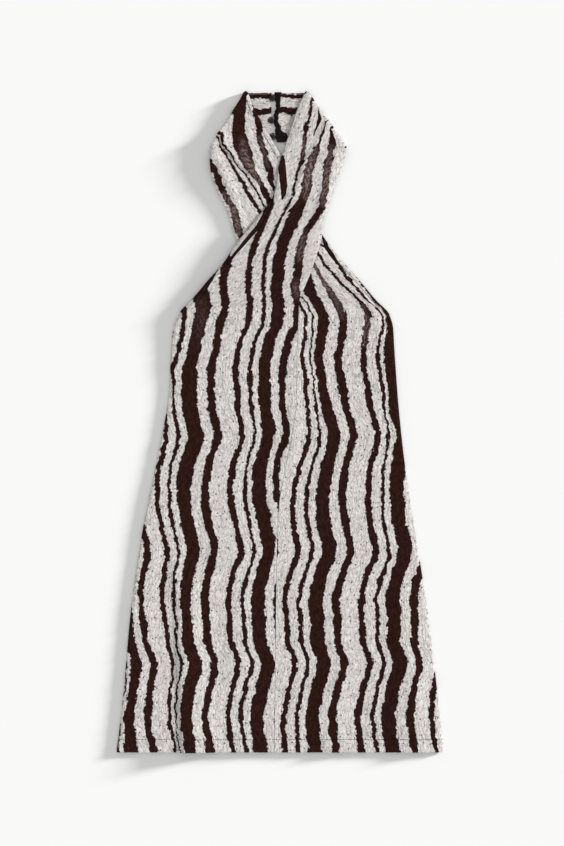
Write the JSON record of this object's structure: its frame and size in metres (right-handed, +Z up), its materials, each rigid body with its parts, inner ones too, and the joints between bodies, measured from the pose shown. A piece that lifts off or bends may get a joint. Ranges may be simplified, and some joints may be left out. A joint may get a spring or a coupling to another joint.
{
  "type": "halter-neck tunic top",
  "caption": "Crossed halter-neck tunic of crinkled striped cloth, laid flat with its front up, with wide neck straps and a buttoned neckband slit.",
  "frame": {"origin": "middle of the laid garment's outline, on the surface it lies on", "axes": "+Y from the hem to the neck, +Z up out of the front, +X to the right of someone looking down on it"},
  "size_m": [0.4578, 0.9237, 0.0136],
  "materials": {
    "cloth": "crinkled weave, off-white with dark brown stripes",
    "back_cloth": "crinkled weave, off-white with dark brown stripes",
    "dark_binding": "dark brown tape and cord",
    "button": "dark, domed"
  },
  "bodies": {
    "root": {"front_left": "cloth", "front_right": "cloth", "back_panel": "back_cloth", "slit_binding": "dark_binding", "button_top": "button", "button_middle": "button", "button_bottom": "button", "loop_top": "dark_binding", "loop_middle": "dark_binding", "loop_bottom": "dark_binding"}
  },
  "joints": []
}
